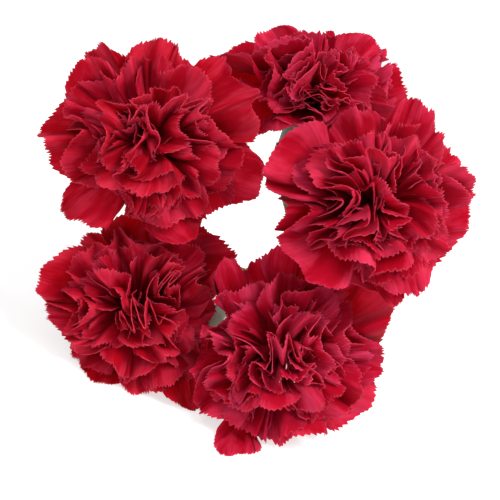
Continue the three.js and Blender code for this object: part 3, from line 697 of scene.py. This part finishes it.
def petals_of(outer, draw):
    """Every petal of a bloom: the outer ones, then the inner ones towards the middle."""
    petals = []
    for azimuth, reach, half_width, opening in outer:
        petals.append({
            "azimuth": azimuth,
            "reach": reach + CLAW_LOSS,
            "half_width": half_width,
            "opening": opening,
            "root": OUTER_ROOT,
            "curl": TIP_DROP * drawn_over(draw, *OUTER_DRAWS["curl"]),
            "wave": drawn_over(draw, *OUTER_DRAWS["wave"]),
            "waves": drawn_over(draw, *OUTER_DRAWS["waves"]),
            "phase": 360 * draw(),
            "side_lift": 0, "tilt": 0, "tilt_to": 0,
        })
    for place in range(INNER_COUNT):
        inward = place / (INNER_COUNT - 1)
        petals.append({
            "azimuth": place * GOLDEN_ANGLE + INNER_TURN * (draw() - 0.5),
            "reach": inner_value(INNER_REACH, inward, draw),
            "half_width": inner_value(INNER_HALF_WIDTH, inward, draw),
            "opening": inner_value(INNER_OPENING, inward**INNER_OPENING_POWER, draw),
            "root": OUTER_ROOT + (INNER_ROOT - OUTER_ROOT) * inward,
            "curl": (INNER_CURL[0] + INNER_CURL[1] * inward) * drawn_over(draw, *INNER_DRAWS["curl"]),
            "wave": drawn_over(draw, *INNER_DRAWS["wave"]),
            "waves": drawn_over(draw, *INNER_DRAWS["waves"]),
            "phase": 360 * draw(),
            "side_lift": SIDE_LIFT,
            "tilt_to": 360 * draw(),
            "tilt": INNER_TILT[0] + (INNER_TILT[1] - INNER_TILT[0]) * inward,
        })
    return petals


def petal_profile(petal):
    """The middle line of a petal: radius, height and slope over equal steps of its length."""
    step = petal["reach"] / PROFILE_STEPS
    length = (np.arange(PROFILE_STEPS) + 0.5) * step
    turned = smoothstep(length, CLAW_RISE, CLAW_RISE + CLAW_TURN)
    bend = np.radians(petal["opening"] * turned + petal["curl"] * (length / petal["reach"]) ** 3)
    radius = petal["root"] + np.concatenate([[0], np.cumsum(step * np.sin(bend))])
    height = np.concatenate([[0], np.cumsum(step * np.cos(bend))])
    return radius, height, np.concatenate([[0], bend])


def petal_grid(petal, chance):
    """A petal's middle points in its flower's own frame, and how far across and along it each one is."""
    rows = np.array(PETAL_ROWS)[:, None]
    across = np.linspace(-1, 1, PETAL_COLUMNS)[None, :]

    def ripples(lengths):
        return np.sin(chance.uniform(*lengths) * across + chance.uniform(*WAVE_PHASES))

    long_teeth = LONG_TEETH[0] + LONG_TEETH[1] * chance.random(PETAL_COLUMNS)
    short_teeth = SHORT_TEETH * chance.random(PETAL_COLUMNS)
    teeth = np.where(np.arange(PETAL_COLUMNS) % 2 == 0, long_teeth, short_teeth)
    lobes = LOBES[0] * ripples(LOBES[1])
    lobes = lobes + SMALL_LOBES[0] * ripples(SMALL_LOBES[1])
    notch = (TOOTH_DEPTH * teeth[None, :] + lobes) * smoothstep(rows, *TEETH_SPAN)
    margin = 1 - EDGE_FALL * np.abs(across) ** EDGE_POWER - notch / petal["reach"]
    along = rows * margin
    radii, heights, bends = petal_profile(petal)
    exact = along * (len(radii) - 1)
    steps = np.arange(len(radii))
    radius, height, bend = (np.interp(exact, steps, values) for values in (radii, heights, bends))
    fan = smoothstep(along, *FAN_SPAN)
    half_width = CLAW_HALF_WIDTH + (petal["half_width"] - CLAW_HALF_WIDTH) * fan
    wave = petal["wave"] * along**2 * np.sin(np.radians(180 * petal["waves"] * across + petal["phase"]))
    frill = FRILL[0] * smoothstep(along, *FRILL_SPAN) * ripples(FRILL[1])
    frill = frill * (1 - FRILL_SWELL[0] + FRILL_SWELL[0] * ripples(FRILL_SWELL[1]))
    crease = CREASES[0] * ripples(CREASES[1]) * smoothstep(along, *CREASE_SPAN)
    lift = wave + frill + crease + petal["side_lift"] * across * half_width * along
    angle = np.radians(petal["azimuth"]) + across * half_width / (radius + FAN_EASE)
    radius = radius - lift * np.cos(bend)
    height = height + lift * np.sin(bend)
    grid = np.stack([radius * np.cos(angle), radius * np.sin(angle), height], axis=-1)
    tilt_to = math.radians(petal["tilt_to"])
    tilt_axis = Vector((math.cos(tilt_to), math.sin(tilt_to), 0))
    grid = grid @ np.array(Matrix.Rotation(math.radians(petal["tilt"]), 3, tilt_axis)).T
    places = np.stack(np.broadcast_arrays((across + 1) / 2, rows), axis=-1)
    return grid, places


def petal_red():
    material, tree, shader, node = shader_nodes("velvet_petal_red")
    along = node("ShaderNodeUVMap", uv_map="along").outputs["UV"]
    tint = node("ShaderNodeAttribute", attribute_name="tint").outputs["Fac"]
    split = node("ShaderNodeSeparateXYZ", {"Vector": along})
    shifted = node("ShaderNodeCombineXYZ", {"Z": tint}).outputs[0]
    own = node("ShaderNodeVectorMath", {0: along, 1: shifted}, operation="ADD").outputs[0]

    def up_petal(start, end, low, high):
        """A value that changes evenly from one place up the petal to another."""
        return node("ShaderNodeMapRange", {
            "Value": split.outputs["Y"], "From Min": start, "From Max": end, "To Min": low, "To Max": high,
        }).outputs[0]

    def blend(part, first, second):
        return node("ShaderNodeMix", {0: part, 6: first, 7: second}, data_type="RGBA").outputs[2]

    fine = node("ShaderNodeVectorMath", {0: own, 1: (46, 2.2, 30)}, operation="MULTIPLY").outputs[0]
    veins = node("ShaderNodeTexNoise", {
        "Vector": fine, "Scale": 1, "Detail": 4, "Roughness": 0.6,
    }).outputs["Fac"]
    broad = node("ShaderNodeVectorMath", {0: own, 1: (4.5, 2.2, 30)}, operation="MULTIPLY").outputs[0]
    flush = node("ShaderNodeTexNoise", {"Vector": broad, "Scale": 1, "Detail": 3}).outputs["Fac"]
    vein_weight = up_petal(0.5, 1, 0.09, 0.25)
    vein_part = node("ShaderNodeMath", {0: veins, 1: vein_weight}, operation="MULTIPLY").outputs[0]
    mixed = node("ShaderNodeMath", {0: flush, 1: 0.84, 2: vein_part}, operation="MULTIPLY_ADD").outputs[0]
    rim = up_petal(0.6, 1, -0.01, 0.05)
    lighter = node("ShaderNodeMath", {0: mixed, 1: rim}, operation="ADD").outputs[0]
    red = ramp(node, lighter, [
        (0.32, (0.23, 0.0002, 0.004)), (0.52, (0.3, 0.0015, 0.01)), (0.74, (0.56, 0.02, 0.05)),
    ])
    # Painted shade: each petal turns towards a near-black red at its foot, where it lies in the shade of the
    # heart.
    foot_shade = up_petal(0.15, 0.6, 0.6, 0)
    blush = node("ShaderNodeAttribute", attribute_name="blush").outputs["Fac"]
    rosy = node("ShaderNodeVectorMath", {0: red, 1: (1.08, 1.7, 2.05)}, operation="MULTIPLY").outputs[0]
    outward = up_petal(0.4, 1, 0.35, 1.25)
    blush_part = node("ShaderNodeMath", {0: blush, 1: outward}, operation="MULTIPLY").outputs[0]
    blushed = blend(blush_part, red, rosy)
    shaded = blend(foot_shade, blushed, (0.28, 0.0003, 0.006, 1))
    # Painted highlight: a thin pale pink line along the very edge of each petal stands for the light its rim
    # catches, stronger on the inner petals.
    inner = node("ShaderNodeAttribute", attribute_name="inner").outputs["Fac"]
    rim_highlight_strength = node("ShaderNodeMath", {0: inner, 1: 0.13, 2: 0.12}, operation="MULTIPLY_ADD").outputs[0]
    edge = up_petal(0.982, 1, 0, rim_highlight_strength)
    rim_highlighted = blend(edge, shaded, (0.72, 0.08, 0.14, 1))
    tree.links.new(rim_highlighted, shader.inputs["Base Color"])
    bump = node("ShaderNodeBump", {"Height": veins, "Strength": 0.6, "Distance": 0.0005})
    tree.links.new(bump.outputs["Normal"], shader.inputs["Normal"])
    shader.inputs["Subsurface Weight"].default_value = 0.35
    shader.inputs["Subsurface Radius"].default_value = (1, 0.08, 0.12)
    shader.inputs["Subsurface Scale"].default_value = 0.003
    shader.inputs["Roughness"].default_value = 0.62
    shader.inputs["Specular IOR Level"].default_value = 0.03
    shader.inputs["Sheen Weight"].default_value = 0.02
    shader.inputs["Sheen Roughness"].default_value = 0.45
    shader.inputs["Sheen Tint"].default_value = (1, 0.35, 0.5, 1)
    return material


# The end of the leaf that is painted paler, as painted light, shows between the lower blooms. Their petals
# stop this far from a line across it, in slightly uneven ends.
LEAF_LINE = ((-14, -27.6), (-10.2, -24.2))
LEAF_ROOM = 1.6
UNEVEN_END = 0.02


def stopped_short(grids):
    """Petal grids whose lines from claw to edge end before they come over the leaf."""
    rows = np.array(PETAL_ROWS)
    start, end = (np.array(place, float) for place in LEAF_LINE)
    way = end - start
    nearest = np.clip((grids[..., :2] - start) @ way / (way @ way), 0, 1)
    distance = np.linalg.norm(grids[..., :2] - start - nearest[..., None] * way, axis=-1)
    grids = grids.copy()
    for petal, column in np.argwhere((distance < LEAF_ROOM).any(axis=1)):
        first = int(np.argmax(distance[petal, :, column] < LEAF_ROOM))
        before, after = distance[petal, first - 1, column], distance[petal, first, column]
        share = (before - LEAF_ROOM) / (before - after)
        limit = rows[first - 1] + share * (rows[first] - rows[first - 1]) - UNEVEN_END * (column % 2)
        line = grids[petal, :, column].copy()
        shortened = [np.interp(rows * limit, rows, line[:, axis]) for axis in range(3)]
        grids[petal, :, column] = np.stack(shortened, axis=1)
    return grids


velvet_red = petal_red()
for place, (seed, outer) in BLOOMS.items():
    chance = np.random.default_rng(seed)
    swirls = swirls_of(seeded_draw(seed))
    _, mouth, turn = flower_frame(place)
    petals = petals_of(outer, seeded_draw(seed + 1))
    drawn = [petal_grid(petal, chance) for petal in petals]
    grids = np.stack([grid for grid, _ in drawn])
    grids = swirled(grids, swirls) @ turn.T + mouth
    for front, behind, at, towards in PRESSED_PAIRS:
        if place not in (front, behind):
            continue
        normal = unit(towards) * (1 if place == front else -1)
        grids = press(grids, normal, normal @ np.array(at) - PRESS_GAP, PRESS_DEPTH)
    grids = press(grids, np.array([0, 1, 0]), TOP_LEVEL, TOP_DEPTH)
    if place in ("lower_left", "lower_middle"):
        grids = stopped_short(grids)
    before = grids @ table_up
    grids = press(grids, -table_up, FACE_HEIGHT - TABLE_MIDDLE, TABLE_DEPTH)
    grids = grids + (TABLE_FOLD * (grids @ table_up - before))[..., None] * table_forward
    parts = [blade(grid, PETAL_THICKNESS, places) for grid, (_, places) in zip(grids, drawn)]
    look = {
        "tint": chance.random(len(parts)),
        "blush": BLUSH[place] + BLUSH_SPREAD * (chance.random(len(parts)) - 0.5),
        "inner": np.arange(len(parts)) >= len(outer),
    }
    add_piece(f"ruffled_petals_{place}", f"petals_{place}", velvet_red, parts, look)

# ---- Styles
# Three soft pale threads that grow from the heart of the most open bloom, where its seed would set. They rise
# between the innermost petals and curl over at their tips.

STYLE_RADIUS = 0.34
STYLE_TAPER = 0.7
STYLE_SIDES = 8
STYLE_STEP = 0.5
STYLE_TIPS = [(13.4, -42, 14), (16, -47, 13.5), (11.4, -47, 13)]
STYLE_CURL = 1.6
STYLE_DROOP = 0.3


def style_cream():
    material, tree, shader, node = shader_nodes("style_cream")
    place = node("ShaderNodeTexCoord").outputs["Object"]
    mottle = node("ShaderNodeTexNoise", {"Vector": place, "Scale": 900, "Detail": 3}).outputs["Fac"]
    cream = ramp(node, mottle, [(0.35, (0.75, 0.28, 0.3)), (0.6, (0.85, 0.62, 0.58))])
    tree.links.new(cream, shader.inputs["Base Color"])
    bump = node("ShaderNodeBump", {"Height": mottle, "Strength": 0.4, "Distance": 0.0001})
    tree.links.new(bump.outputs["Normal"], shader.inputs["Normal"])
    shader.inputs["Roughness"].default_value = 0.6
    return material


axis, mouth, _ = flower_frame("lower_middle")
styles = []
for tip in STYLE_TIPS:
    tip = np.array(tip, float)
    aside = unit(tip - mouth - axis * (axis @ (tip - mouth)))
    curled_to = tip + STYLE_CURL * (aside - STYLE_DROOP * axis)
    line = smooth_path([
        mouth, mouth + 0.5 * (tip - mouth), tip - axis * STYLE_CURL, tip, curled_to,
    ], STYLE_STEP)
    radii = np.linspace(STYLE_RADIUS, STYLE_TAPER * STYLE_RADIUS, len(line))
    styles.append(tube(line, radii, STYLE_SIDES))
add_piece("curled_styles_lower_middle", "petals_lower_middle", style_cream(), styles)

# ---- The tie
# Three turns of two-ply jute twine, tan and hairy, wound tight round the stems where they cross. It is tied
# in one knot on the upper side, and its two ends are cut short.

TWINE_RADIUS = 0.95
TWINE_SIDES = 16
TWINE_TURNS = 3
TWINE_STEP = 0.35
# The two plies go once round each other in this length. They bulge, with a groove between them.
TWINE_LAY = 4.2
PLY_BULGE = 1.08
PLY_GROOVE = 0.16
END_TAPER = 0.6
TIE_CLEARANCE = 0.6
COIL_STEPS = 40
COIL_STAND = 0.55
COIL_PACKING = 0.92
# The knot stands this far out of the coil. Its loop is this large each way, and stays open for a short way,
# where the two ends run out of it.
KNOT_STAND = 1.9
KNOT_LIFT = 0.5
KNOT_SIZE = (0.85, 0.75, 0.62)
KNOT_TURN = (0.35, 5.95)
KNOT_POINTS = 22
tie_inner = WAIST_RADIUS + STEM_RADIUS + TIE_CLEARANCE


def twine_tan():
    material, tree, shader, node = shader_nodes("jute_twine")
    along = node("ShaderNodeUVMap", uv_map="along").outputs["UV"]
    place = node("ShaderNodeTexCoord").outputs["Object"]
    fibre = node("ShaderNodeVectorMath", {0: along, 1: (5, 160, 1)}, operation="MULTIPLY").outputs[0]
    strands = node("ShaderNodeTexNoise", {
        "Vector": fibre, "Scale": 1.5, "Detail": 6, "Roughness": 0.7,
    }).outputs["Fac"]
    tan = ramp(node, strands, [
        (0.3, (0.16, 0.09, 0.035)), (0.5, (0.36, 0.24, 0.11)), (0.75, (0.6, 0.45, 0.26)),
    ])
    tree.links.new(tan, shader.inputs["Base Color"])
    grain = node("ShaderNodeTexNoise", {"Vector": place, "Scale": 1800, "Detail": 3}).outputs["Fac"]
    bump = node("ShaderNodeBump", {"Height": grain, "Strength": 0.6, "Distance": 0.0003})
    tree.links.new(bump.outputs["Normal"], shader.inputs["Normal"])
    shader.inputs["Roughness"].default_value = 0.9
    return material


def twine(points):
    """Two-ply twine along a smooth path through the points, in the waist's own axes."""
    basis = np.stack([gather_across, gather_up, gather_axis])
    path = smooth_path(np.asarray(points) @ basis + WAIST, TWINE_STEP)
    twist = 2 * math.pi * TWINE_STEP * np.arange(len(path)) / TWINE_LAY
    radii = np.full(len(path), TWINE_RADIUS * PLY_BULGE)
    radii[[0, -1]] *= END_TAPER
    return tube(path, radii, TWINE_SIDES, twist, PLY_GROOVE)


wound = np.linspace(0, 1, COIL_STEPS * TWINE_TURNS + 1)
wound_angle = 2 * math.pi * TWINE_TURNS * wound + math.pi / 2
wound_radius = tie_inner + COIL_STAND
coil = np.stack([
    wound_radius * np.cos(wound_angle), wound_radius * np.sin(wound_angle),
    2 * TWINE_RADIUS * TWINE_TURNS * (wound - 0.5) * COIL_PACKING,
], axis=1)
knot_at = tie_inner + KNOT_STAND
turning = np.linspace(*KNOT_TURN, KNOT_POINTS)
knot = np.stack([
    KNOT_SIZE[0] * (np.sin(turning) + 2 * np.sin(2 * turning)),
    knot_at + KNOT_LIFT + KNOT_SIZE[1] * np.sin(3 * turning),
    KNOT_SIZE[2] * (np.cos(turning) - 2 * np.cos(2 * turning)),
], axis=1)
right_end = [
    (knot_at * 0.02, knot_at, 0), (3, knot_at + 1.2, 1), (8, knot_at + 0.5, 3), (13, knot_at - 2.5, 4),
]
left_end = [(0, knot_at, 0), (-3, knot_at + 1.3, -1), (-8, knot_at + 1, 1), (-12, knot_at - 1, 4)]
lines = [twine(line) for line in (coil, knot, right_end, left_end)]
add_piece("jute_twine_tie", "twine_tie", twine_tan(), lines)

# ---- Table and light
# A plain pale table top that runs out of sight, in a white room. Soft light comes from a large window in
# front, above and to the right, and a little of it from the left.

TABLE_HALF_SIZE = 18  # metres
ROOM_LIGHT = 0.44


def pale_table():
    material, tree, shader, node = shader_nodes("pale_table")
    place = node("ShaderNodeTexCoord").outputs["Object"]
    cloud = node("ShaderNodeTexNoise", {"Vector": place, "Scale": 4, "Detail": 2}).outputs["Fac"]
    pale = ramp(node, cloud, [(0.3, (0.62, 0.62, 0.62)), (0.7, (0.66, 0.66, 0.66))])
    tree.links.new(pale, shader.inputs["Base Color"])
    tree.links.new(pale, shader.inputs["Emission Color"])
    shader.inputs["Emission Strength"].default_value = 0.95
    shader.inputs["Roughness"].default_value = 0.9
    shader.inputs["Specular IOR Level"].default_value = 0.1
    return material


table_mesh = bpy.data.meshes.new("table_top")
corners = [
    (x * TABLE_HALF_SIZE, y * TABLE_HALF_SIZE, 0) for x, y in ((-1, -1), (1, -1), (1, 1), (-1, 1))
]
table_mesh.from_pydata(corners, [], [(0, 1, 2, 3)])
table_mesh.materials.append(pale_table())
table_top = bpy.data.objects.new("table_top", table_mesh)
bpy.context.scene.collection.objects.link(table_top)

world = bpy.data.worlds.new("soft_room")
bpy.context.scene.world = world
world.use_nodes = True
background = world.node_tree.nodes["Background"]
background.inputs["Color"].default_value = (1, 1, 1, 1)
background.inputs["Strength"].default_value = ROOM_LIGHT


def soft_lamp(name, place, watts, size, colour):
    """A large square lamp at a place in the face's frame, aimed at the middle of the ring."""
    lamp_data = bpy.data.lights.new(name, "AREA")
    lamp_data.energy = watts
    lamp_data.size = size
    lamp_data.color = colour
    lamp = bpy.data.objects.new(name, lamp_data)
    start = Vector(on_table(place))
    aim = Vector(on_table([0, 0, 0])) - start
    lamp.matrix_world = Matrix.Translation(start) @ aim.to_track_quat("-Z", "Y").to_matrix().to_4x4()
    bpy.context.scene.collection.objects.link(lamp)


soft_lamp("window", place=(750, 450, 650), watts=13.3, size=0.5, colour=(1, 0.98, 0.95))
soft_lamp("fill", place=(-200, 500, 800), watts=3.5, size=0.8, colour=(0.95, 0.97, 1))
